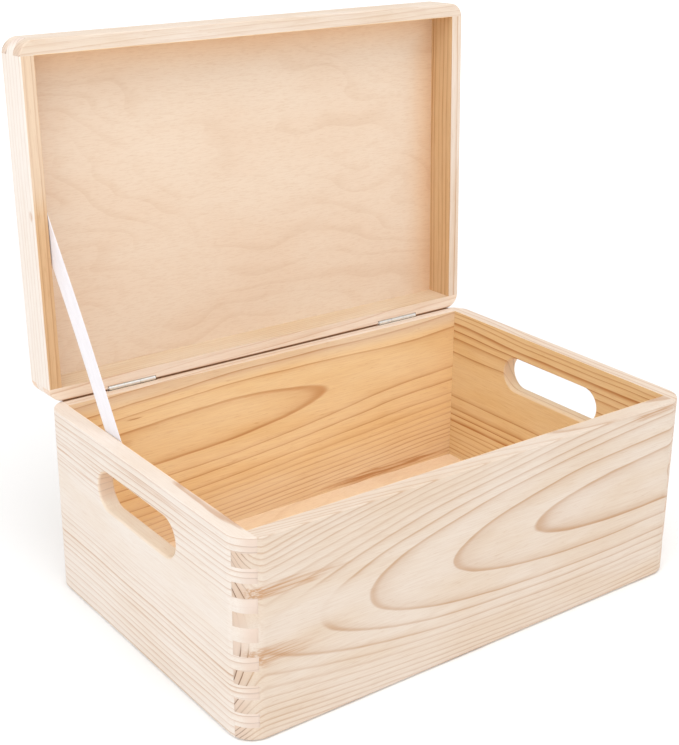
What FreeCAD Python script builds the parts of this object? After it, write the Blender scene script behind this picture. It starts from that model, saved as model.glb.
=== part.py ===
import FreeCAD, Part
import math
import os

# A lidded toy box of finger-jointed pine, stored with its lid open against a ribbon.
# Millimetres. +Z is up, +X is to the right along the length and -Y is the front.
# The origin is the centre of the base. The lid is drawn shut and then swung open.

Vector = FreeCAD.Vector
X_AXIS = Vector(1, 0, 0)

# Body
LENGTH = 300.0
DEPTH = 200.0
BODY_HEIGHT = 110.0
WALL = 9.5
CORNER_RADIUS = 14.0
BASE_ROUND = 2.0
SEAM_ROUND = 0.7
BODY_FINGERS = 14
FLOOR_THICK = 6.0
FLOOR_REBATE = 4.5

# Handle slot in each side wall: a stadium, rounded over on both faces
SLOT_LENGTH = 80.0
SLOT_HEIGHT = 22.0
SLOT_CENTRE_Z = 83.5
SLOT_ROUND = 1.5

# Lid
LID_INSET = 1.5
LID_HEIGHT = 24.0
LID_RAIL = WALL - LID_INSET
LID_CORNER_RADIUS = 9.0
LID_TOP_ROUND = 2.5
LID_FINGERS = 3
LID_RECESS = 19.6
LID_REBATE = 3.5
CLOSED_GAP = 0.4
OPEN_ANGLE = 92.0

# Butt hinges: one leaf let into the back wall's outer face, the other on the back of the lid.
# The barrel sits in a notch between them and shows from the front while the lid is open.
HINGE_LENGTH = 30.0
HINGE_CENTRE_X = 97.0
LEAF_THICK = 0.8
LEAF_WIDTH = 11.0
LEAF_CORNER = 1.2
BARREL_RADIUS = 1.4
BARREL_SINK = 0.35
PIN_RADIUS = 0.6
PIN_CLEARANCE = 0.05
PIN_END = 0.3
KNUCKLE_CLEARANCE = 0.2
MOVING_CLEARANCE = 0.3
SCREW_SPACING = 20.0
SCREW_OFFSET = 6.6
SCREW_HEAD_RADIUS = 1.5
SCREW_SHANK_RADIUS = 0.8
SCREW_HEAD_HEIGHT = 0.7
SCREW_TIP = 1.5
SCREW_LENGTH = 7.0
SCREW_SLOT_WIDTH = 0.4
SCREW_SLOT_DEPTH = 0.3
SCREW_TURNS = (35.0, 80.0, 10.0, 125.0)

# Ribbon: a straight, taut strip in a plane beside the left inner faces, given by the two
# points (y, z) that its staples hold
RIBBON_WIDTH = 15.0
RIBBON_THICK = 0.4
RIBBON_GAP = 0.4
RIBBON_END = 5.0
RIBBON_LOW = (34.2, 102.0)
RIBBON_HIGH = (110.5, 215.7)
STAPLE_CROWN = 10.0
STAPLE_WIRE = 0.6
STAPLE_LEG = 5.0
STAPLE_CLEARANCE = 0.3

# Worked out from the sizes above
HALF_X = LENGTH / 2
HALF_Y = DEPTH / 2
INNER_X = HALF_X - WALL
INNER_Y = HALF_Y - WALL
LID_HALF_X = HALF_X - LID_INSET
LID_HALF_Y = HALF_Y - LID_INSET
LID_BOTTOM = BODY_HEIGHT + CLOSED_GAP
LID_TOP = LID_BOTTOM + LID_HEIGHT
PIVOT = Vector(0, LID_HALF_Y - (BARREL_RADIUS - LEAF_THICK), BODY_HEIGHT + BARREL_RADIUS - BARREL_SINK)
HINGES = {"left": -HINGE_CENTRE_X, "right": HINGE_CENTRE_X}


def block(low, high):
    """A box from its lowest corner to its highest corner."""
    size = Vector(*high) - Vector(*low)
    return Part.makeBox(size.x, size.y, size.z, Vector(*low))


def centred_block(half_x, half_y, z_low, z_high):
    """A box centred on the Z axis."""
    return block((-half_x, -half_y, z_low), (half_x, half_y, z_high))


def is_upright(edge):
    return edge.BoundBox.XLength + edge.BoundBox.YLength < 1e-6


def lies_at_height(edge, height):
    box = edge.BoundBox
    return abs(box.ZMin - height) < 1e-6 and abs(box.ZMax - height) < 1e-6


def rounded_envelope(half_x, half_y, z_low, z_high, corner, low_round, high_round):
    """The outer form of the body or the lid: rounded upright corners and eased rims."""
    shape = centred_block(half_x, half_y, z_low, z_high)
    shape = shape.makeFillet(corner, [edge for edge in shape.Edges if is_upright(edge)])
    shape = shape.makeFillet(low_round, [edge for edge in shape.Edges if lies_at_height(edge, z_low)])
    return shape.makeFillet(high_round, [edge for edge in shape.Edges if lies_at_height(edge, z_high)])


def corner_fingers(half_x, half_y, board, z_high, pitch, indices):
    """The blocks that the numbered fingers, counted down from z_high, fill at all four corners."""
    blocks = []
    for index in indices:
        top = z_high - index * pitch
        for x_low in (-half_x, half_x - board):
            for y_low in (-half_y, half_y - board):
                blocks.append(block((x_low, y_low, top - pitch), (x_low + board, y_low + board, top)))
    return Part.makeCompound(blocks)


def finger_frame(envelope, half_x, half_y, board, z_low, z_high, fingers, first_side_finger):
    """Four finger-jointed boards cut from one envelope. The side boards own every second
    finger, starting with first_side_finger, and the front and back boards own the others."""
    pitch = (z_high - z_low) / fingers
    side_fingers = range(first_side_finger, fingers, 2)
    end_fingers = [index for index in range(fingers) if index not in side_fingers]
    side_blocks = corner_fingers(half_x, half_y, board, z_high, pitch, side_fingers)
    end_blocks = corner_fingers(half_x, half_y, board, z_high, pitch, end_fingers)
    slabs = {
        "front": (block((-half_x, -half_y, z_low), (half_x, board - half_y, z_high)), side_blocks),
        "back": (block((-half_x, half_y - board, z_low), (half_x, half_y, z_high)), side_blocks),
        "left": (block((-half_x, -half_y, z_low), (board - half_x, half_y, z_high)), end_blocks),
        "right": (block((half_x - board, -half_y, z_low), (half_x, half_y, z_high)), end_blocks),
    }
    return {name: envelope.common(slab).cut(notches) for name, (slab, notches) in slabs.items()}


def stadium_along_x(x_low, x_high):
    """The handle slot's stadium, as a bar along X."""
    radius = SLOT_HEIGHT / 2
    straight = SLOT_LENGTH / 2 - radius
    bar = block((x_low, -straight, SLOT_CENTRE_Z - radius), (x_high, straight, SLOT_CENTRE_Z + radius))
    for y_centre in (-straight, straight):
        start = Vector(x_low, y_centre, SLOT_CENTRE_Z)
        bar = bar.fuse(Part.makeCylinder(radius, x_high - x_low, start, X_AXIS))
    return bar.removeSplitter()


def is_slot_rim(edge):
    """True for the slot's edges on a side wall's two faces."""
    box = edge.BoundBox
    in_height = abs(box.Center.z - SLOT_CENTRE_Z) <= SLOT_HEIGHT / 2 + 1e-6
    in_length = max(-box.YMin, box.YMax) <= SLOT_LENGTH / 2 + 1e-6
    return box.XLength < 1e-6 and in_height and in_length


def with_handle_slot(wall):
    """A side wall with its handle slot cut through and rounded over."""
    box = wall.BoundBox
    slotted = wall.cut(stadium_along_x(box.XMin - 1, box.XMax + 1))
    return slotted.makeFillet(SLOT_ROUND, [edge for edge in slotted.Edges if is_slot_rim(edge)])


def hinge_leaf(sections):
    """A hinge leaf in its own frame. The barrel's axis is X, the plate runs along +Y and lies
    against the barrel's +Z side. sections are the stretches of X that this leaf's knuckles fill."""
    half = HINGE_LENGTH / 2
    plate_start = BARREL_RADIUS + MOVING_CLEARANCE
    plate = block((-half, plate_start, BARREL_RADIUS - LEAF_THICK), (half, LEAF_WIDTH, BARREL_RADIUS))
    far_corners = [edge for edge in plate.Edges
                   if edge.BoundBox.XLength < 1e-6 and edge.BoundBox.YMin > LEAF_WIDTH - 1e-6]
    leaf = plate.makeFillet(LEAF_CORNER, far_corners)
    for start, end in sections:
        tongue = block((start, 0, BARREL_RADIUS - LEAF_THICK), (end, plate_start, BARREL_RADIUS))
        knuckle = Part.makeCylinder(BARREL_RADIUS, end - start, Vector(start, 0, 0), X_AXIS)
        leaf = leaf.fuse(tongue).fuse(knuckle)
    hole = Part.makeCylinder(PIN_RADIUS + PIN_CLEARANCE, HINGE_LENGTH + 2, Vector(-half - 1, 0, 0), X_AXIS)
    return leaf.cut(hole).removeSplitter()


def knuckle_sections():
    """The stretches of X for the body leaf's two outer knuckles and the lid leaf's middle one."""
    half = HINGE_LENGTH / 2
    third = HINGE_LENGTH / 6
    gap = KNUCKLE_CLEARANCE / 2
    return [(-half, -third - gap), (third + gap, half)], [(-third + gap, third - gap)]


def hinge_pin(x_centre):
    """A pin with a small peened dome at each end."""
    half = HINGE_LENGTH / 2
    pin = Part.makeCylinder(PIN_RADIUS, HINGE_LENGTH, Vector(-half, 0, 0), X_AXIS)
    for x_end, direction in ((-half, Vector(-1, 0, 0)), (half, X_AXIS)):
        dome = Part.makeCone(PIN_RADIUS + PIN_END, PIN_RADIUS, PIN_END, Vector(x_end, 0, 0), direction)
        pin = pin.fuse(dome)
    pin.translate(PIVOT + Vector(x_centre, 0, 0))
    return pin


def wood_screw(slotted):
    """A countersunk screw, its head's top at the origin and its tip towards -Z. Without its
    driver slot it is the shape of its own hole."""
    down = Vector(0, 0, -1)
    head = Part.makeCone(SCREW_HEAD_RADIUS, SCREW_SHANK_RADIUS, SCREW_HEAD_HEIGHT, Vector(), down)
    straight = SCREW_LENGTH - SCREW_TIP
    shank = Part.makeCylinder(SCREW_SHANK_RADIUS, straight, Vector(), down)
    tip = Part.makeCone(SCREW_SHANK_RADIUS, SCREW_SHANK_RADIUS / 4, SCREW_TIP, down * straight, down)
    screw = head.fuse(shank).fuse(tip).removeSplitter()
    if not slotted:
        return screw
    half_slot = SCREW_SLOT_WIDTH / 2
    slot = block((-SCREW_HEAD_RADIUS, -half_slot, -SCREW_SLOT_DEPTH), (SCREW_HEAD_RADIUS, half_slot, 1))
    return screw.cut(slot)


def screw_row(head_height, slotted):
    """The screws of one kind of leaf, at both hinges, as one compound. Their heads look
    backwards, and no two driver slots of a row point the same way."""
    head_point = PIVOT + Vector(0, BARREL_RADIUS, head_height)
    places = [x_centre + side * SCREW_SPACING / 2 for x_centre in HINGES.values() for side in (-1, 1)]
    screws = []
    for x_place, turn in zip(places, SCREW_TURNS):
        screw = wood_screw(slotted)
        screw.rotate(Vector(), Vector(0, 0, 1), turn)
        screw.rotate(Vector(), X_AXIS, -90)
        screw.translate(head_point + Vector(x_place, 0, 0))
        screws.append(screw)
    return Part.makeCompound(screws)


def body_hinge_pocket(x_centre):
    """What the back wall gives up for one hinge: the leaf's bed in its outer face and the
    notch in its rim that leaves the barrel and the lid's leaf free."""
    half = HINGE_LENGTH / 2
    room = half + PIN_END + MOVING_CLEARANCE
    bed_low = PIVOT.z - LEAF_WIDTH
    bed = block((-half, PIVOT.y + BARREL_RADIUS - LEAF_THICK, bed_low), (half, HALF_Y + 1, LID_TOP))
    low_corners = [edge for edge in bed.Edges
                   if edge.BoundBox.XLength < 1e-6 and lies_at_height(edge, bed_low)]
    bed = bed.makeFillet(LEAF_CORNER, low_corners)
    low = PIVOT.z - BARREL_RADIUS - MOVING_CLEARANCE
    notch = block((-room, PIVOT.y, low), (room, HALF_Y + 1, LID_TOP))
    pocket = bed.fuse(notch).fuse(barrel_room(room))
    pocket.translate(Vector(x_centre, 0, 0))
    return pocket


def barrel_room(half_length):
    """A bar round the pivot that leaves the barrel free to turn."""
    start = PIVOT - Vector(half_length, 0, 0)
    return Part.makeCylinder(BARREL_RADIUS + MOVING_CLEARANCE, 2 * half_length, start, X_AXIS)


def lid_hinge_pocket(x_centre):
    """What the lid's back rail gives up for one hinge's barrel."""
    pocket = barrel_room(HINGE_LENGTH / 2 + PIN_END + MOVING_CLEARANCE)
    pocket.translate(Vector(x_centre, 0, 0))
    return pocket


def along_ribbon(shape, anchor):
    """Moves a shape drawn on the inner face's plane, with +Z along the ribbon and +Y across it,
    to one of the ribbon's anchors."""
    lean = math.degrees(math.atan2(RIBBON_HIGH[0] - RIBBON_LOW[0], RIBBON_HIGH[1] - RIBBON_LOW[1]))
    shape.rotate(Vector(), X_AXIS, -lean)
    shape.translate(Vector(-INNER_X, anchor[0], anchor[1]))
    return shape


def staple(anchor, wire_growth=0.0):
    """A staple across the ribbon: a crown in front of it and two legs into the wood."""
    half_wire = STAPLE_WIRE / 2 + wire_growth
    half_crown = STAPLE_CROWN / 2
    front = RIBBON_GAP + RIBBON_THICK + STAPLE_CLEARANCE
    shape = block((front - wire_growth, -half_crown, -half_wire),
                  (front + STAPLE_WIRE, half_crown, half_wire))
    for y_leg in (-half_crown, half_crown - STAPLE_WIRE):
        leg = block((-STAPLE_LEG, y_leg - wire_growth, -half_wire),
                    (front + STAPLE_WIRE, y_leg + STAPLE_WIRE + wire_growth, half_wire))
        shape = shape.fuse(leg)
    return along_ribbon(shape.removeSplitter(), anchor)


def ribbon():
    """The taut strip between the two staples, pierced by their legs."""
    length = math.dist(RIBBON_LOW, RIBBON_HIGH)
    strip = block((RIBBON_GAP, -RIBBON_WIDTH / 2, -RIBBON_END),
                  (RIBBON_GAP + RIBBON_THICK, RIBBON_WIDTH / 2, length + RIBBON_END))
    strip = along_ribbon(strip, RIBBON_LOW)
    for anchor in (RIBBON_LOW, RIBBON_HIGH):
        strip = strip.cut(staple(anchor, STAPLE_CLEARANCE / 2))
    return strip


def opened(shape):
    """Swings a piece of the shut lid to the open position."""
    shape = shape.copy()
    shape.rotate(PIVOT, X_AXIS, -OPEN_ANGLE)
    return shape


def body_nodes(screw_holes):
    """The four walls and the floor."""
    envelope = rounded_envelope(HALF_X, HALF_Y, 0, BODY_HEIGHT, CORNER_RADIUS, BASE_ROUND, SEAM_ROUND)
    walls = finger_frame(envelope, HALF_X, HALF_Y, WALL, 0, BODY_HEIGHT, BODY_FINGERS, 0)
    floor = centred_block(INNER_X + FLOOR_REBATE, INNER_Y + FLOOR_REBATE, 0, FLOOR_THICK)
    walls = {name: wall.cut(floor) for name, wall in walls.items()}
    for side in ("left", "right"):
        walls[side] = with_handle_slot(walls[side])
    for x_centre in HINGES.values():
        walls["back"] = walls["back"].cut(body_hinge_pocket(x_centre))
    walls["back"] = walls["back"].cut(screw_holes)
    walls["left"] = walls["left"].cut(staple(RIBBON_LOW))
    nodes = {name + "_wall": wall for name, wall in walls.items()}
    nodes["floor_panel"] = floor
    return nodes


def lid_nodes(screw_holes):
    """The four rails and the panel, with the lid shut."""
    envelope = rounded_envelope(LID_HALF_X, LID_HALF_Y, LID_BOTTOM, LID_TOP,
                                LID_CORNER_RADIUS, SEAM_ROUND, LID_TOP_ROUND)
    rails = finger_frame(envelope, LID_HALF_X, LID_HALF_Y, LID_RAIL, LID_BOTTOM, LID_TOP,
                         LID_FINGERS, 1)
    panel = centred_block(INNER_X + LID_REBATE, INNER_Y + LID_REBATE, LID_BOTTOM + LID_RECESS, LID_TOP)
    rails = {name: rail.cut(panel) for name, rail in rails.items()}
    for x_centre in HINGES.values():
        rails["back"] = rails["back"].cut(lid_hinge_pocket(x_centre))
    rails["back"] = rails["back"].cut(screw_holes)
    nodes = {"lid_" + name + "_rail": rail for name, rail in rails.items()}
    nodes["lid_panel"] = panel
    return nodes


def hinge_nodes(body_holes, lid_holes):
    """Both hinges: body leaves and pins in place, and lid leaves with the lid shut."""
    body_sections, lid_sections = knuckle_sections()
    fixed = {}
    moving = {}
    for side, x_centre in HINGES.items():
        centre = PIVOT + Vector(x_centre, 0, 0)
        body_leaf = hinge_leaf(body_sections)
        body_leaf.rotate(Vector(), X_AXIS, -90)
        body_leaf.translate(centre)
        lid_leaf = hinge_leaf(lid_sections)
        lid_leaf.rotate(Vector(), Vector(0, 1, 1), 180)
        lid_leaf.translate(centre)
        fixed[side + "_hinge_body_leaf"] = body_leaf.cut(body_holes)
        fixed[side + "_hinge_pin"] = hinge_pin(x_centre)
        moving[side + "_hinge_lid_leaf"] = lid_leaf.cut(lid_holes)
    return fixed, moving


def build():
    """Every node's shape, by name."""
    body_holes = screw_row(-SCREW_OFFSET, False)
    lid_holes = screw_row(SCREW_OFFSET, False)
    fixed, moving = hinge_nodes(body_holes, lid_holes)
    nodes = body_nodes(body_holes)
    nodes.update(fixed)
    nodes["body_hinge_screws"] = screw_row(-SCREW_OFFSET, True)
    nodes["lid_ribbon"] = ribbon()
    nodes["ribbon_body_staple"] = staple(RIBBON_LOW)
    moving.update(lid_nodes(lid_holes))
    moving["lid_hinge_screws"] = screw_row(SCREW_OFFSET, True)
    lid_staple = staple(RIBBON_HIGH)
    for name, shape in moving.items():
        nodes[name] = opened(shape)
    nodes["lid_left_rail"] = nodes["lid_left_rail"].cut(lid_staple)
    nodes["ribbon_lid_staple"] = lid_staple
    return nodes


os.makedirs("parts", exist_ok=True)
for node_name, node_shape in build().items():
    if not node_shape.isValid():
        raise ValueError(node_name + " is not a valid shape")
    node_shape.exportStep("parts/" + node_name + ".step")
    print(node_name, len(node_shape.Solids), "solid(s)", round(node_shape.Volume, 1), "mm3")
print("hinge axis at y", round(PIVOT.y, 3), "and z", round(PIVOT.z, 3))
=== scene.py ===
"""The looks of the wooden toy box: pine, plywood, nickel hinges and a woven ribbon round the model."""

import math
from dataclasses import dataclass

import bpy
from mathutils import Matrix, Vector


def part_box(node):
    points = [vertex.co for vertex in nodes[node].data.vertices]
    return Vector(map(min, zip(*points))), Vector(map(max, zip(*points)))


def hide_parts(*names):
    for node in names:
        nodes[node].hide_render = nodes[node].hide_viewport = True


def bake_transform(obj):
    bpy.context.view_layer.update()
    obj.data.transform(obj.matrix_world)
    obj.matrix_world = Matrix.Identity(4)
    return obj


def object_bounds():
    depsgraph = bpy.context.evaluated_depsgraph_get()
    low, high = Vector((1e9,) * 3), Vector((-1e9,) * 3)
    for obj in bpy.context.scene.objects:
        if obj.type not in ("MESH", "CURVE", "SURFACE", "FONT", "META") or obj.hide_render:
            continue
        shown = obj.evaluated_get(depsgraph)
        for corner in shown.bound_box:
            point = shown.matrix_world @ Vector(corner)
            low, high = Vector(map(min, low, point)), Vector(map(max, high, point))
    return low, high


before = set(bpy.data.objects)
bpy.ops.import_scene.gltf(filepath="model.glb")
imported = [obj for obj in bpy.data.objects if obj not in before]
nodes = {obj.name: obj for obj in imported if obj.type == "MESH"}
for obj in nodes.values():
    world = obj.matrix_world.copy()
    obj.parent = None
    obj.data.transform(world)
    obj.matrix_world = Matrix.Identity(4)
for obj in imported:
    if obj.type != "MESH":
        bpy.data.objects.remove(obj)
bpy.context.view_layer.update()
cad_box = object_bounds()

MM = 0.001
X, Y, Z = Vector((1, 0, 0)), Vector((0, 1, 0)), Vector((0, 0, 1))

# Camera: where it looks from, and the lens that gives the photograph's perspective.
CAMERA_AZIMUTH = -36.54
CAMERA_ELEVATION = 21.37
CAMERA_ROLL = 0.466
CAMERA_DISTANCE = 0.79627
CAMERA_TARGET = Vector((-0.0066, 0.01985, 0.12198))
CAMERA_LENS = 68.104

# The lid stands open by this angle at rest, so its boards lie turned by it.
LID_OPEN = math.radians(92)
LID_TURN = Matrix.Rotation(-LID_OPEN, 3, "X")

# How much a board's cut edges are eased, in metres.
EDGE_EASE = 0.00026

# Sizes that the materials follow, in millimetres.
HALF_WALL = 4.75            # half a wall's thickness, which the rings' depths are measured from
LID_INNER_FACE = 90.5       # the lid's front and back rails' inner faces, from its middle
LID_RIM = 7                 # how far out the painted warm shade reaches on the lid's left rim
SLOT_STRAIGHT = 29          # the ends of a handle slot's straight part, from its middle
SLOT_RADIUS = 11
SLOT_HEIGHT = 83.5          # a slot's middle, above the floor

# Ribbon, in metres: its flat size, how far it reaches past the staple at each end, and how far it
# bows. Then how finely its mesh is divided, along and across.
RIBBON_WIDTH = 0.015
RIBBON_THICKNESS = 0.0004
RIBBON_END = 0.005
RIBBON_BOW = 0.0006
RIBBON_ROWS = 147
RIBBON_COLUMNS = 20

# Studio floor, in metres: how far it reaches each way, and how far it lies below the box.
FLOOR_REACH = 6.0
FLOOR_DROP = 0.0002


# ---------------------------------------------------------------- helpers for materials

def colour(red, green, blue):
    """The linear colour of an sRGB one whose parts go from 0 to 1."""
    parts = [part / 12.92 if part < 0.04045 else ((part + 0.055) / 1.055) ** 2.4
             for part in (red, green, blue)]
    return (*parts, 1.0)


class Tree:
    """A material being built. A value given to a node is a number, a colour or another node's output."""

    def __init__(self, name):
        self.material = bpy.data.materials.new(name)
        self.material.use_nodes = True
        self.nodes = self.material.node_tree.nodes
        self.links = self.material.node_tree.links
        self.shader = self.nodes["Principled BSDF"]
        self.coordinates = self.nodes.new("ShaderNodeTexCoord")

    def give(self, socket, value):
        if isinstance(value, bpy.types.NodeSocket):
            self.links.new(value, socket)
        else:
            socket.default_value = value

    def math(self, operation, *values):
        node = self.nodes.new("ShaderNodeMath")
        node.operation = operation
        for socket, value in zip(node.inputs, values):
            self.give(socket, value)
        return node.outputs[0]

    def vector(self, operation, *values):
        node = self.nodes.new("ShaderNodeVectorMath")
        node.operation = operation
        sockets = [node.inputs[0], node.inputs["Scale"]] if operation == "SCALE" else node.inputs
        for socket, value in zip(sockets, values):
            self.give(socket, value)
        is_number = operation in ("DOT_PRODUCT", "LENGTH", "DISTANCE")
        return node.outputs["Value" if is_number else "Vector"]

    def combine(self, x, y, z):
        node = self.nodes.new("ShaderNodeCombineXYZ")
        for socket, value in zip(node.inputs, (x, y, z)):
            self.give(socket, value)
        return node.outputs[0]

    def position_mm(self):
        """The place on the object at rest, in millimetres."""
        return self.vector("MULTIPLY", self.coordinates.outputs["Object"], (1 / MM,) * 3)

    def noise(self, where, detail=2.0, roughness=0.5):
        node = self.nodes.new("ShaderNodeTexNoise")
        self.give(node.inputs["Vector"], where)
        node.inputs["Scale"].default_value = 1.0
        node.inputs["Detail"].default_value = detail
        node.inputs["Roughness"].default_value = roughness
        return node.outputs["Fac"]

    def noise_along(self, where):
        """Noise that depends on one number only."""
        node = self.nodes.new("ShaderNodeTexNoise")
        node.noise_dimensions = "1D"
        self.give(node.inputs["W"], where)
        node.inputs["Scale"].default_value = 1.0
        node.inputs["Detail"].default_value = 1.0
        return node.outputs["Fac"]

    def swing(self, noise, amount):
        """Noise turned into a shift of up to half the amount either way."""
        return self.math("MULTIPLY", self.math("SUBTRACT", noise, 0.5), amount)

    def span(self, value, low, high, to_low=0.0, to_high=1.0):
        """A smooth step from to_low to to_high as value goes from low to high."""
        node = self.nodes.new("ShaderNodeMapRange")
        node.interpolation_type = "SMOOTHSTEP"
        for name, amount in (("Value", value), ("From Min", low), ("From Max", high),
                             ("To Min", to_low), ("To Max", to_high)):
            self.give(node.inputs[name], amount)
        return node.outputs[0]

    def mix(self, share, first, second, blend="MIX"):
        node = self.nodes.new("ShaderNodeMix")
        node.data_type = "RGBA"
        node.blend_type = blend
        self.give(node.inputs[0], share)
        self.give(node.inputs[6], first)
        self.give(node.inputs[7], second)
        return node.outputs[2]

    def bump(self, height, distance, strength):
        node = self.nodes.new("ShaderNodeBump")
        node.inputs["Strength"].default_value = strength
        node.inputs["Distance"].default_value = distance
        self.give(node.inputs["Height"], height)
        self.give(self.shader.inputs["Normal"], node.outputs[0])


# ---------------------------------------------------------------- pine

@dataclass
class Board:
    """One pine board: which way it lies, and where the tree's middle was. Lengths are in millimetres."""
    centre: Vector              # the board's middle at rest
    grain: Vector               # along the trunk
    width: Vector               # across the board's face
    face: Vector                # out of its outer face
    middle: float = 0.0         # where the tree's middle lies across the width
    lean: float = 0.0           # how much that shifts per unit of length
    depths: tuple = (30, 30)    # depth of the tree's middle behind the outer face, at two places
    places: tuple = (-150, 150)     # those two places along the grain
    oval: float = 1.0           # how much wider than deep a ring is
    ring: float = 2.5           # the radius of the first ring
    crowding: float = 1.0       # how fast the rings get narrower outwards
    heart: float = 0.0          # the radius of the tree's young wood
    young: float = 5.0          # the ring spacing in the young wood
    wobble: float = 0.6         # how far the rings wander
    contrast: float = 1.0       # how strong the ring lines are
    end_contrast: float = 0.4   # how strong they are on the end grain
    warmth: float = 1.0         # how much warmer the faces inside the box are drawn, with painted warm bounce light
    amber: float = 0.0          # how much deeper still the painted warm bounce light makes their colour
    pallor: float = 0.0         # painted light: how much paler the outer faces are drawn where they are brightly lit
    shades: tuple = (1.0, 1.0)  # painted light and shade: how bright the wood is drawn outside and inside the box
    seed: float = 0.0
    quiet: tuple = None         # where ring lines are faint: (along, across, half length, half width)
    streaks: tuple = ()         # resin streaks: (along, across, half length, half width, strength)
    crevice: bool = False       # whether painted shade darkens the wood along the narrow gap under the open lid


BODY_PALE = colour(0.925, 0.865, 0.805)
BODY_WARM = colour(0.905, 0.825, 0.74)
BODY_LATE = colour(0.76, 0.58, 0.42)
# The inner colours carry painted warm bounce light for the faces inside the box.
INNER_PALE = colour(0.985, 0.875, 0.69)
INNER_WARM = colour(0.965, 0.835, 0.62)
INNER_LATE = colour(0.76, 0.50, 0.26)
STREAK = colour(0.77, 0.56, 0.37)
# Near-white that paints light onto brightly lit outer faces.
PAINTED_LIGHT_WHITE = colour(0.975, 0.95, 0.93)
END_TINT = colour(0.965, 0.925, 0.905)
END_LATE = colour(0.48, 0.34, 0.23)
# Painted shade for the narrow gap under the open lid.
CREVICE_SHADE = colour(0.62, 0.43, 0.27)
# AMBER deepens the painted warm bounce light on the lid's inner faces.
AMBER = colour(0.978, 0.797, 0.606)
# Painted shadow and warm bounce light on the lid panel beside its rails.
RAIL_SHADE_TINT = colour(0.99, 0.94, 0.88)

# How far the dark colour shows in each kind of mark, from 0 to 1.
RING_SHARE = 0.72
FLECK_SHARE = 0.22
FIBRE_SHARE = 0.18


def board_place(tree, board):
    """(along, across, depth) in the board, in millimetres from its middle, with depth outwards."""
    place = tree.vector("SUBTRACT", tree.position_mm(), board.centre / MM)
    return [tree.vector("DOT_PRODUCT", place, axis) for axis in (board.grain, board.width, board.face)]


def stretched(tree, place, along, across, seed=0.0):
    """Noise coordinates for features of these lengths along and across the grain."""
    scaled = [tree.math("MULTIPLY_ADD", part, 1 / size, seed * factor)
              for part, size, factor in zip(place, (along, across, across), (1.0, 1.7, 0.6))]
    return tree.combine(*scaled)


def distance_from_pith(tree, board, place):
    """How far a place is from the tree's middle, which wanders a little along the board."""
    along, across, depth = place
    wander = tree.swing(tree.noise(stretched(tree, place, 110, 30, board.seed), detail=1.0), 5 * board.wobble)
    shiver = tree.swing(tree.noise(stretched(tree, place, 30, 6, board.seed), detail=1.0), 0.9)
    middle = tree.math("MULTIPLY_ADD", along, board.lean, board.middle)
    aside = tree.math("ADD", tree.math("SUBTRACT", across, middle), tree.math("ADD", wander, shiver))
    aside = tree.math("DIVIDE", aside, board.oval)
    behind = tree.span(along, *board.places, *board.depths)
    behind = tree.math("ADD", behind, tree.math("SUBTRACT", depth, HALF_WALL))
    behind = tree.math("MULTIPLY_ADD", wander, 0.3, behind)
    return tree.vector("LENGTH", tree.combine(aside, behind, 0.0))


def ring_age(tree, board, radius):
    """The age of the wood, in rings, and how far apart the rings are there. They crowd together
    outwards, but are evenly spaced in the young wood."""
    outer = tree.math("MAXIMUM", radius, board.heart)
    age = tree.math("POWER", tree.math("DIVIDE", outer, board.ring), board.crowding)
    spacing = tree.math("DIVIDE", tree.math("DIVIDE", outer, board.crowding), age)
    is_young = tree.math("LESS_THAN", radius, board.heart)
    spacing = tree.math("MAXIMUM", spacing, tree.math("MULTIPLY", is_young, board.young))
    inwards = tree.math("MINIMUM", tree.math("SUBTRACT", radius, board.heart), 0.0)
    age = tree.math("MULTIPLY_ADD", inwards, 1 / board.young, age)
    uneven = tree.noise_along(tree.math("MULTIPLY_ADD", age, 0.8, board.seed))
    return tree.math("ADD", age, tree.swing(uneven, 0.6)), spacing


def growth_rings(tree, board, place):
    """How dark the latewood is, from 0 to 1, and the number of the ring. Dark lines build up over
    the last part of a ring and stop sharply, as in pine, and are stronger where rings are wide."""
    age, spacing = ring_age(tree, board, distance_from_pith(tree, board, place))
    part = tree.math("FRACT", age)
    before = tree.math("MULTIPLY", tree.math("SUBTRACT", 1.0, part), spacing)
    core = tree.span(before, 0.05, tree.math("MULTIPLY_ADD", spacing, 0.12, 0.12), 1.0, 0.0)
    fade = tree.span(before, 0.0, tree.math("MULTIPLY", spacing, 0.5), 1.0, 0.0)
    line = tree.math("MULTIPLY_ADD", core, 0.6, tree.math("MULTIPLY", fade, 0.4))
    after = tree.span(tree.math("MULTIPLY", part, spacing), 0.0, 0.2, 1.0, 0.0)
    line = tree.math("MAXIMUM", line, after)
    line = tree.math("MULTIPLY", line, tree.span(spacing, 1.5, 4.0, 0.7, 1.0))
    if board.quiet:
        away = distance_in_ellipse(tree, place, *board.quiet)
        line = tree.math("MULTIPLY", line, tree.span(away, 0.5, 1.1, 0.12, 1.0))
    return line, tree.math("FLOOR", age)


def distance_in_ellipse(tree, place, centre, height, half_length, half_width):
    """The distance from an ellipse's middle on the board's face, 1 on the ellipse itself."""
    along, across, _ = place
    far = tree.combine(tree.math("DIVIDE", tree.math("SUBTRACT", along, centre), half_length),
                       tree.math("DIVIDE", tree.math("SUBTRACT", across, height), half_width), 0.0)
    return tree.vector("LENGTH", far)


def resin_streaks(tree, board, place):
    """Long brown streaks with fine lines in them, where the board has any."""
    rough = tree.swing(tree.noise(stretched(tree, place, 18, 1.6, board.seed + 5)), 1.0)
    fine = tree.span(tree.noise(stretched(tree, place, 30, 0.7, board.seed + 8)), 0.4, 0.6, 0.25, 1.0)
    total = 0.0
    for *ellipse, strength in board.streaks:
        away = tree.math("ADD", distance_in_ellipse(tree, place, *ellipse), rough)
        total = tree.math("MAXIMUM", total, tree.span(away, 0.35, 1.0, strength, 0.0))
    return tree.math("MULTIPLY", total, fine)


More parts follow.
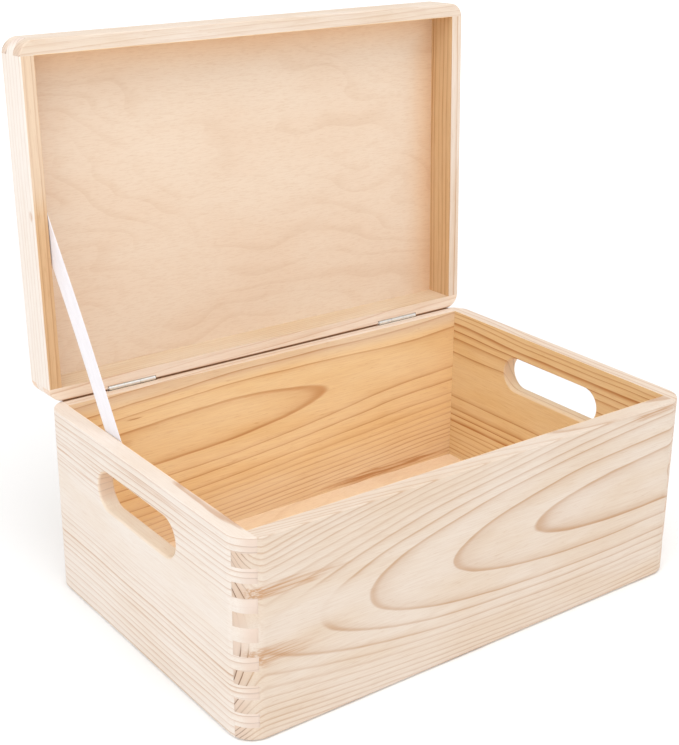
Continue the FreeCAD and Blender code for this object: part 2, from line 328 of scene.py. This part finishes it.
def along_crevice(tree):
    """Painted shade: a mask along the narrow gap between the back wall and the open lid, just behind the
    hinge axis.
    """
    axis = centre_of("left_hinge_pin") / MM + Vector((0, 0.3, -0.85))
    place = tree.vector("SUBTRACT", tree.position_mm(), axis)
    away = tree.vector("LENGTH", tree.vector("MULTIPLY", place, (0, 1, 1)))
    return tree.span(away, 1.1, 1.7, 0.9, 0.0)


def wood_colours(tree, board, within, patch):
    """The pale and the dark colour of the wood's rings."""
    # Inside the box the colours take the painted warm bounce light, deepened further by the amber share.
    pale = tree.mix(within, BODY_PALE, INNER_PALE)
    warm = tree.mix(within, BODY_WARM, INNER_WARM)
    late = tree.mix(within, BODY_LATE, INNER_LATE)
    early = tree.mix(tree.span(patch, 0.3, 0.75), pale, warm)
    early = tree.mix(tree.math("MULTIPLY", within, board.amber), early, AMBER)
    # Painted light: the outer faces are drawn paler where they are brightly lit.
    pallor = tree.math("MULTIPLY_ADD", within, -board.pallor, board.pallor)
    early = tree.mix(pallor, early, PAINTED_LIGHT_WHITE)
    late = tree.mix(tree.math("MULTIPLY", pallor, 0.5), late, PAINTED_LIGHT_WHITE)
    return early, late


def face_grain(tree, board, place, early, late, line, patch, fibre):
    """The faces along the grain: short flecks, ring lines, fine fibres and resin streaks."""
    flecks = tree.span(tree.noise(stretched(tree, place, 7, 0.6, board.seed), detail=1.0), 0.64, 0.78)
    line = tree.math("MULTIPLY", line, tree.span(patch, 0.25, 0.7, 0.6, 1.0))
    wood = tree.mix(tree.math("MULTIPLY", flecks, FLECK_SHARE), early, late)
    wood = tree.mix(tree.math("MULTIPLY", line, board.contrast * RING_SHARE), wood, late)
    wood = tree.mix(tree.span(fibre, 0.35, 0.75, 0.0, FIBRE_SHARE), wood, late)
    if board.streaks:
        wood = tree.mix(resin_streaks(tree, board, place), wood, STREAK)
    return wood


def end_grain(tree, board, early, line):
    """The faces across the grain: a little darker, with sharp ring lines."""
    wood = tree.mix(1.0, early, END_TINT, blend="MULTIPLY")
    sharp = tree.math("POWER", line, 1.8)
    return tree.mix(tree.math("MULTIPLY", sharp, board.end_contrast), wood, END_LATE)


def pine(name, board, inside):
    """Pine with growth rings through the whole board, so that faces, edges and end grain agree.
    inside(tree) is 1 on the faces that look into the box, which get painted warm bounce light and shade, and
    0 elsewhere."""
    tree = Tree(name)
    place = board_place(tree, board)
    line, number = growth_rings(tree, board, place)
    strength = tree.noise_along(tree.math("MULTIPLY_ADD", number, 7.31, board.seed))
    line = tree.math("MULTIPLY", line, tree.span(strength, 0.3, 0.7, 0.45, 1.0))
    patch = tree.noise(stretched(tree, place, 70, 18, board.seed + 2))
    fibre = tree.noise(stretched(tree, place, 14, 0.42), detail=3.0)

    # Painted warm bounce light on the faces inside the box.
    within = tree.math("MULTIPLY", inside(tree), board.warmth)
    early, late = wood_colours(tree, board, within, patch)
    across_grain = tree.vector("DOT_PRODUCT", tree.coordinates.outputs["Normal"], board.grain)
    across_grain = tree.span(tree.math("ABSOLUTE", across_grain), 0.45, 0.9)
    wood = tree.mix(across_grain, face_grain(tree, board, place, early, late, line, patch, fibre),
                    end_grain(tree, board, early, line))
    # Painted shade along the narrow gap under the open lid.
    if board.crevice:
        wood = tree.mix(along_crevice(tree), wood, CREVICE_SHADE)
    # Painted light and shade: the colour is scaled brighter or darker, outside and inside the box, board by
    # board.
    outer, inner = board.shades
    shade = tree.math("MULTIPLY_ADD", within, inner - outer, outer)
    tree.give(tree.shader.inputs["Base Color"], tree.vector("SCALE", wood, shade))

    rough = tree.span(fibre, 0.3, 0.7, 0.52, 0.66)
    tree.give(tree.shader.inputs["Roughness"], tree.math("MULTIPLY_ADD", line, -0.08, rough))
    relief = tree.math("MULTIPLY_ADD", line, 0.6, tree.math("MULTIPLY", fibre, 0.5))
    tree.bump(relief, 0.00006, 0.6)
    tree.shader.inputs["Specular IOR Level"].default_value = 0.35
    return tree.material


def within_box(half_x, half_y, turn=Matrix.Identity(3), origin=Vector((0, 0, 0)), fades=()):
    """A mask for the painted warm bounce light and shade inside the box: 1 between the walls and 0 in and
    beyond them. Each of the fades, an axis, two places along it and the share at each, weakens the mask
    towards one end."""
    def mask(tree):
        place = tree.vector("SUBTRACT", tree.position_mm(), origin / MM)
        across, along = (tree.vector("DOT_PRODUCT", place, turn @ axis) for axis in (X, Y))
        share = 1.0
        for away, half in ((across, half_x), (along, half_y)):
            step = tree.span(tree.math("ABSOLUTE", away), half + 0.05, half + 0.3, 1.0, 0.0)
            share = tree.math("MULTIPLY", share, step)
        for axis, *steps in fades:
            height = tree.vector("DOT_PRODUCT", place, turn @ axis)
            share = tree.math("MULTIPLY", share, tree.span(height, *steps))
        return share
    return mask


def either(first, second):
    """The stronger of two masks."""
    return lambda tree: tree.math("MAXIMUM", first(tree), second(tree))


def with_slot(inside, share):
    """The same mask, and partly the painted warm bounce light inside a side wall's handle slot."""
    def mask(tree):
        y, z = (tree.vector("DOT_PRODUCT", tree.position_mm(), axis) for axis in (Y, Z))
        beyond = tree.math("MAXIMUM", tree.math("SUBTRACT", tree.math("ABSOLUTE", y), SLOT_STRAIGHT), 0.0)
        away = tree.vector("LENGTH", tree.combine(beyond, tree.math("SUBTRACT", z, SLOT_HEIGHT), 0.0))
        slot = tree.span(away, SLOT_RADIUS + 0.3, SLOT_RADIUS + 1.4, share, 0.0)
        return tree.math("MAXIMUM", inside(tree), slot)
    return mask


# ---------------------------------------------------------------- other materials

def plywood(name, grain, width, seed, pale, warm, line_colour, rail_shade=None):
    """Rotary-cut plywood: faint wandering contours and many short fine flecks along the grain. Where
    the last argument, a mask, is strong, painted shadow and warm bounce light from the pine beside it
    darken and warm the plywood."""
    tree = Tree(name)
    position = tree.position_mm()
    place = [tree.vector("DOT_PRODUCT", position, axis) for axis in (grain, width, grain.cross(width))]
    along, across, _ = place
    hills = tree.noise(stretched(tree, place, 130, 55, seed), detail=2.0, roughness=0.4)
    level = tree.math("MULTIPLY_ADD", across, 1 / 18, tree.math("MULTIPLY", hills, 10.0))
    level = tree.math("MULTIPLY_ADD", along, -1 / 50, level)
    part = tree.math("FRACT", level)
    line = tree.math("MAXIMUM", tree.span(part, 0.6, 0.98), tree.span(part, 0.0, 0.04, 1.0, 0.0))
    patch = tree.noise(stretched(tree, place, 70, 30, seed + 3))
    line = tree.math("MULTIPLY", line, tree.span(patch, 0.35, 0.65, 0.1, 1.0))
    fleck = tree.noise(stretched(tree, place, 5, 0.6, seed + 7), detail=2.5, roughness=0.6)
    dash = tree.span(tree.noise(stretched(tree, place, 4, 0.45, seed + 11), detail=1.0), 0.66, 0.76)
    wood = tree.mix(tree.span(patch, 0.3, 0.7, 0.0, 0.5), pale, warm)
    wood = tree.mix(tree.math("MULTIPLY", line, 0.21), wood, line_colour)
    wood = tree.mix(tree.span(fleck, 0.42, 0.75, 0.0, 0.27), wood, line_colour)
    wood = tree.mix(tree.math("MULTIPLY", dash, 0.24), wood, line_colour)
    # Painted shadow and warm bounce light beside the rails.
    if rail_shade:
        wood = tree.mix(rail_shade(tree), wood, RAIL_SHADE_TINT, blend="MULTIPLY")
    tree.give(tree.shader.inputs["Base Color"], wood)
    tree.give(tree.shader.inputs["Roughness"], tree.span(fleck, 0.3, 0.7, 0.50, 0.62))
    tree.bump(fleck, 0.00004, 0.6)
    tree.shader.inputs["Specular IOR Level"].default_value = 0.35
    return tree.material


def metal(name, tint, roughness, scratch=0.10):
    """Plated steel with fine brushing and a slightly uneven shine."""
    tree = Tree(name)
    place = tree.position_mm()
    brushed = tree.noise(tree.vector("MULTIPLY", place, (0.6, 9.0, 9.0)), detail=2.0)
    dull = tree.noise(tree.vector("MULTIPLY", place, (0.5, 0.5, 0.5)))
    shade = tree.mix(tree.span(dull, 0.35, 0.7, 0.0, 0.12), tint, colour(0.62, 0.61, 0.59))
    tree.give(tree.shader.inputs["Base Color"], shade)
    tree.shader.inputs["Metallic"].default_value = 1.0
    tree.give(tree.shader.inputs["Roughness"],
              tree.math("MULTIPLY_ADD", brushed, scratch, tree.math("MULTIPLY_ADD", dull, 0.04, roughness)))
    tree.bump(brushed, 0.00002, 0.5)
    return tree.material


def woven_tape():
    """White tape: fine ribs across its length, held by denser edges. Its UV map is in millimetres."""
    tree = Tree("ribbon_weave")
    place = tree.coordinates.outputs["UV"]
    across = tree.vector("DOT_PRODUCT", place, X)
    along = tree.vector("DOT_PRODUCT", place, Y)
    ribs = tree.math("SINE", tree.math("MULTIPLY", along, 2 * math.pi / 0.62))
    threads = tree.math("SINE", tree.math("MULTIPLY", across, 2 * math.pi / 0.45))
    weave = tree.math("MULTIPLY", ribs, threads)
    height = tree.math("MULTIPLY_ADD", weave, 0.25, tree.math("MULTIPLY", ribs, 0.3))
    uneven = tree.noise(tree.vector("MULTIPLY", place, (0.25, 0.06, 1.0)))
    shade = tree.mix(tree.span(uneven, 0.3, 0.7), colour(0.965, 0.945, 0.955), colour(0.945, 0.925, 0.935))
    # Painted shade: the weave's low parts are drawn greyer.
    shade = tree.mix(tree.span(height, -0.5, 0.2, 0.22, 0.0), shade, colour(0.78, 0.75, 0.77))
    tree.give(tree.shader.inputs["Base Color"], shade)
    tree.give(tree.shader.inputs["Roughness"], tree.span(uneven, 0.3, 0.7, 0.70, 0.82))
    tree.bump(height, 0.00008, 0.8)
    tree.shader.inputs["Sheen Weight"].default_value = 0.25
    tree.shader.inputs["Sheen Roughness"].default_value = 0.4
    return tree.material


def pale_floor():
    """A white floor that glows a little further off, so that it stays white behind the box."""
    tree = Tree("studio_floor")
    tree.shader.inputs["Base Color"].default_value = colour(0.97, 0.97, 0.97)
    tree.shader.inputs["Roughness"].default_value = 0.9
    tree.shader.inputs["Specular IOR Level"].default_value = 0.1
    tree.shader.inputs["Emission Color"].default_value = (1, 1, 1, 1)
    away = tree.vector("LENGTH", tree.vector("MULTIPLY", tree.coordinates.outputs["Object"], (1, 1, 0)))
    tree.give(tree.shader.inputs["Emission Strength"], tree.span(away, 0.5, 1.6, 0.04, 0.3))
    return tree.material


# ---------------------------------------------------------------- which piece is made of what

def centre_of(node):
    low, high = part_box(node)
    return (low + high) / 2


def dress(node, material):
    nodes[node].data.materials.clear()
    nodes[node].data.materials.append(material)


def ease_edges(node):
    """Takes the sharpness off a board's edges, so that joints show as fine lines."""
    weld = nodes[node].modifiers.new("weld", "WELD")
    weld.merge_threshold = 0.000002
    bevel = nodes[node].modifiers.new("eased edges", "BEVEL")
    bevel.width = EDGE_EASE
    bevel.segments = 2
    bevel.limit_method = "ANGLE"
    bevel.angle_limit = math.radians(50)


def wall(node, grain, face, **figure):
    """The board of a wall, with what the figure of its wood needs."""
    return Board(centre_of(node), grain, Z, face, **figure)


def dress_body():
    """The four walls, with the grain along each wall's length."""
    low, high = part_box("left_wall")
    thickness = (high.x - low.x) / MM
    half_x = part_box("right_wall")[1].x / MM - thickness
    half_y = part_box("back_wall")[1].y / MM - thickness
    inside = within_box(half_x, half_y)
    walls = {
        "front_wall": wall(
            "front_wall", X, -Y, middle=6, lean=0.044, depths=(30.5, 7.05), places=(-220, 150), oval=1.7,
            ring=14.5, crowding=2.5, heart=22.5, young=5.2, wobble=0.8, contrast=1.4, end_contrast=2.4,
            shades=(0.92, 1.0), seed=1.3, quiet=(-122, 8, 48, 17),
            streaks=((-142, 26, 62, 4.5, 0.8), (-140, -9, 48, 6.5, 0.7), (124, 52, 24, 3, 0.8))),
        "back_wall": wall(
            "back_wall", X, Y, middle=22.3, lean=0.052, depths=(18.4, 23.5), places=(-52, 113), oval=1.7,
            ring=12.3, crowding=2.08, heart=24, young=4, wobble=0.8, contrast=1.5, end_contrast=2.0,
            warmth=0.92, shades=(1.0, 1.03), seed=4.1, crevice=True,
            streaks=((85, -45, 66, 4, 1.0), (-112, 23, 12, 4, 0.5), (-100, 37, 7, 0.8, 0.9))),
        "left_wall": wall(
            "left_wall", Y, -X, middle=-150, depths=(10, 10), ring=3.4, wobble=1.0, contrast=1.8,
            end_contrast=0.5, pallor=0.35, shades=(0.95, 1.0), seed=7.7, quiet=(0, 10, 300, 17),
            streaks=((70, 38, 60, 1.0, 0.5), (80, 33, 50, 0.8, 0.5), (60, 28, 45, 0.7, 0.4),
                     (0, 49, 110, 1.2, 0.35))),
        "right_wall": wall(
            "right_wall", Y, X, middle=11, depths=(34.5, 34.5), ring=17.3, crowding=2, wobble=1.0,
            contrast=1.8, end_contrast=0.5, shades=(0.96, 0.87), seed=9.2),
    }
    masks = {
        "front_wall": inside,
        # On the back wall the painted warm bounce light is weaker near the rim and near the floor.
        "back_wall": within_box(half_x, half_y, fades=((Z, 98, 107, 1.0, 0.45), (Z, 8, 45, 0.6, 1.0))),
        "left_wall": with_slot(inside, 0.35),
        "right_wall": with_slot(inside, 0.55),
    }
    for node, board in walls.items():
        dress(node, pine(node, board, masks[node]))
        ease_edges(node)


def rail(node, grain, face, **figure):
    """The board of a lid rail. Its directions are those of the shut lid."""
    return Board(centre_of(node), LID_TURN @ grain, LID_TURN @ Z, LID_TURN @ face, **figure)


def dress_lid():
    """The four lid rails. Their boards are turned with the open lid. The left rail's rim gets the painted
    warm shade too.
    """
    low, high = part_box("lid_left_rail")
    thickness = (high.x - low.x) / MM
    half_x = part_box("lid_right_rail")[1].x / MM - thickness
    middle = centre_of("lid_panel")
    inside = within_box(half_x, LID_INNER_FACE, LID_TURN, middle)
    # Painted warm shade on the left rim, weaker towards the lid's front end.
    left_rim = within_box(half_x + LID_RIM, LID_INNER_FACE, LID_TURN, middle,
                          fades=((Y, -25, 5, 0.55, 1.0), (Z, -19, -14, 1.0, 0.0)))
    rails = {
        "lid_front_rail": rail(
            "lid_front_rail", X, -Y, middle=-30, lean=0.04, contrast=0.8, end_contrast=1.5,
            shades=(0.96, 1.0), seed=12.5),
        "lid_back_rail": rail(
            "lid_back_rail", X, Y, middle=30, lean=0.03, contrast=1.1, warmth=0.4, shades=(1.1, 0.52),
            seed=15.2, crevice=True),
        "lid_left_rail": rail(
            "lid_left_rail", Y, -X, middle=-36, ring=2.8, pallor=0.5, contrast=0.9, end_contrast=1.0,
            amber=0.9, shades=(0.985, 0.73), seed=18.4, streaks=((-7, -9, 4, 3, 0.9),)),
        "lid_right_rail": rail(
            "lid_right_rail", Y, X, middle=-40, ring=3.2, contrast=1.7, amber=0.6, shades=(0.97, 0.74),
            seed=21.6),
    }
    for node, board in rails.items():
        is_left = node == "lid_left_rail"
        dress(node, pine(node, board, either(inside, left_rim) if is_left else inside))
        ease_edges(node)


def painted_rail_shade(tree):
    """Painted shadow: a mask that grows over the lid panel's inner face towards its right rail and its front
    rail, where their shade and warm bounce light fall.
    """
    place = tree.vector("SUBTRACT", tree.position_mm(), centre_of("lid_panel") / MM)
    right = tree.vector("DOT_PRODUCT", place, LID_TURN @ X)
    front = tree.vector("DOT_PRODUCT", place, LID_TURN @ -Y)
    near = tree.math("MAXIMUM", tree.span(right, 115, 142), tree.span(front, 66, 92))
    inward = tree.vector("DOT_PRODUCT", tree.coordinates.outputs["Normal"], LID_TURN @ -Z)
    return tree.math("MULTIPLY", near, tree.span(inward, 0.3, 0.7))


def dress_panels():
    lid_wood = plywood("lid_plywood", LID_TURN @ X, LID_TURN @ Y, 2.0, colour(0.925, 0.848, 0.765),
                       colour(0.905, 0.802, 0.703), colour(0.82, 0.68, 0.55), painted_rail_shade)
    floor_wood = plywood("floor_plywood", X, Y, 9.0, colour(0.955, 0.865, 0.75),
                         colour(0.94, 0.835, 0.70), colour(0.80, 0.64, 0.48))
    dress("lid_panel", lid_wood)
    dress("floor_panel", floor_wood)


def dress_metal():
    nickel = metal("hinge_nickel", colour(0.95, 0.945, 0.93), 0.30, 0.05)
    zinc = metal("screw_zinc", colour(0.82, 0.81, 0.80), 0.28)
    wire = metal("staple_wire", colour(0.80, 0.80, 0.81), 0.25)
    for side in ("left", "right"):
        for part in ("body_leaf", "lid_leaf", "pin"):
            dress(f"{side}_hinge_{part}", nickel)
    for node in ("body_hinge_screws", "lid_hinge_screws"):
        dress(node, zinc)
    for node in ("ribbon_body_staple", "ribbon_lid_staple"):
        dress(node, wire)


# ---------------------------------------------------------------- ribbon

def tape_surface(surface, t, s):
    """How far out a surface of the tape is, t of the way along and s across from its middle line. The
    surface is 1 or -1, the selvedges are thicker, and the tape bows and cups a little."""
    thickness = 1.0 - 0.45 * abs(2 * s) ** 12 + 0.25 * math.exp(-((abs(s) - 0.45) / 0.03) ** 2)
    bow = RIBBON_BOW * math.sin(math.pi * t) ** 2
    cup = RIBBON_BOW * 0.35 * (1 - (2 * s) ** 2) * math.sin(math.pi * t)
    return surface * thickness * RIBBON_THICKNESS / 2 + bow + cup


def tape_faces(rows, columns):
    """The faces of a closed tape whose two surfaces are grids of points, one after the other."""
    layer = (rows + 1) * (columns + 1)

    def corner(surface, row, column):
        return surface * layer + row * (columns + 1) + column

    faces = []
    for row in range(rows):
        for column in range(columns):
            for surface in (0, 1):
                quad = [corner(surface, row, column), corner(surface, row, column + 1),
                        corner(surface, row + 1, column + 1), corner(surface, row + 1, column)]
                faces.append(quad if surface else quad[::-1])
    rim = [(0, column) for column in range(columns)] + [(row, columns) for row in range(rows)]
    rim += [(rows, column) for column in range(columns, 0, -1)] + [(row, 0) for row in range(rows, 0, -1)]
    for here, there in zip(rim, rim[1:] + rim[:1]):
        faces.append([corner(0, *here), corner(0, *there), corner(1, *there), corner(1, *here)])
    return faces


def tape_mesh(name, start, direction, length):
    """A flat tape that faces along X, with its place in millimetres as its UV map."""
    side = direction.cross(X)
    vertices, places = [], []
    for surface in (-1, 1):
        for row in range(RIBBON_ROWS + 1):
            for column in range(RIBBON_COLUMNS + 1):
                t, s = row / RIBBON_ROWS, column / RIBBON_COLUMNS - 0.5
                middle = start + direction * (t * length) + side * (s * RIBBON_WIDTH)
                vertices.append(middle + X * tape_surface(surface, t, s))
                places.append((s * RIBBON_WIDTH / MM, t * length / MM))
    mesh = bpy.data.meshes.new(name)
    mesh.from_pydata(vertices, [], tape_faces(RIBBON_ROWS, RIBBON_COLUMNS))
    uv = mesh.uv_layers.new(name="UVMap")
    for loop in mesh.loops:
        uv.data[loop.index].uv = places[loop.vertex_index]
    mesh.update()
    mesh.shade_smooth()
    return mesh


def ribbon():
    """The stay: a flat tape from its staple on the left wall to its staple in the lid."""
    low, high = centre_of("ribbon_body_staple"), centre_of("ribbon_lid_staple")
    low.x = high.x = centre_of("lid_ribbon").x
    direction = (high - low).normalized()
    length = (high - low).length + 2 * RIBBON_END
    mesh = tape_mesh("stay_ribbon", low - direction * RIBBON_END, direction, length)
    mesh.materials.append(woven_tape())
    piece = bpy.data.objects.new("stay_ribbon", mesh)
    bpy.context.scene.collection.objects.link(piece)
    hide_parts("lid_ribbon")
    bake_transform(piece)


# ---------------------------------------------------------------- studio

def look_from(azimuth, elevation):
    """The direction from the box towards something at these angles, in degrees, with 0 at the front."""
    a, e = math.radians(azimuth), math.radians(elevation)
    return Vector((math.sin(a) * math.cos(e), -math.cos(a) * math.cos(e), math.sin(e)))


def camera():
    back = look_from(CAMERA_AZIMUTH, CAMERA_ELEVATION)
    data = bpy.data.cameras.new("camera")
    data.lens = CAMERA_LENS
    data.clip_start, data.clip_end = 0.05, 50.0
    eye = bpy.data.objects.new("camera", data)
    eye.location = CAMERA_TARGET + back * CAMERA_DISTANCE
    eye.rotation_mode = "QUATERNION"
    roll = Matrix.Rotation(math.radians(CAMERA_ROLL), 3, "Z")
    eye.rotation_quaternion = ((-back).to_track_quat("-Z", "Y").to_matrix() @ roll).to_quaternion()
    bpy.context.scene.collection.objects.link(eye)
    bpy.context.scene.camera = eye


def area_light(name, azimuth, elevation, distance, size, power, tint=(1, 1, 1)):
    """A round light that looks at the middle of the box."""
    data = bpy.data.lights.new(name, "AREA")
    data.shape = "DISK"
    data.size = size
    data.energy = power
    data.color = tint
    lamp = bpy.data.objects.new(name, data)
    back = look_from(azimuth, elevation)
    lamp.location = (cad_box[0] + cad_box[1]) / 2 + back * distance
    lamp.rotation_mode = "QUATERNION"
    lamp.rotation_quaternion = (-back).to_track_quat("-Z", "Y")
    bpy.context.scene.collection.objects.link(lamp)


def pale_sky():
    """Even white light all round, a little brighter near the horizon, where it meets the floor."""
    world = bpy.data.worlds.new("studio")
    world.use_nodes = True
    sky, links = world.node_tree.nodes, world.node_tree.links
    direction = sky.new("ShaderNodeTexCoord").outputs["Generated"]
    separate = sky.new("ShaderNodeSeparateXYZ")
    links.new(direction, separate.inputs[0])
    strength = sky.new("ShaderNodeMapRange")
    strength.interpolation_type = "SMOOTHSTEP"
    links.new(separate.outputs["Z"], strength.inputs["Value"])
    for name, amount in (("From Min", 0.1), ("From Max", 0.25), ("To Min", 1.0), ("To Max", 0.86)):
        strength.inputs[name].default_value = amount
    background = sky["Background"]
    background.inputs["Color"].default_value = (1, 1, 1, 1)
    links.new(strength.outputs[0], background.inputs["Strength"])
    bpy.context.scene.world = world


def studio():
    """A pale floor under soft, even light, with a stronger window on the left."""
    pale_sky()
    area_light("window", azimuth=-72, elevation=30, distance=1.6, size=1.2, power=3.8,
               tint=(0.84, 0.96, 1.05))
    area_light("softbox", azimuth=-15, elevation=68, distance=1.7, size=1.2, power=10.5)
    mesh = bpy.data.meshes.new("floor")
    corners = [(FLOOR_REACH * x, FLOOR_REACH * y, 0) for x, y in ((-1, -1), (1, -1), (1, 1), (-1, 1))]
    mesh.from_pydata(corners, [], [(0, 1, 2, 3)])
    mesh.materials.append(pale_floor())
    floor = bpy.data.objects.new("floor", mesh)
    floor.location.z = cad_box[0].z - FLOOR_DROP
    bpy.context.scene.collection.objects.link(floor)


camera()
dress_body()
dress_lid()
dress_panels()
dress_metal()
ribbon()
studio()
bpy.context.scene.view_settings.view_transform = "Standard"
bpy.context.view_layer.update()
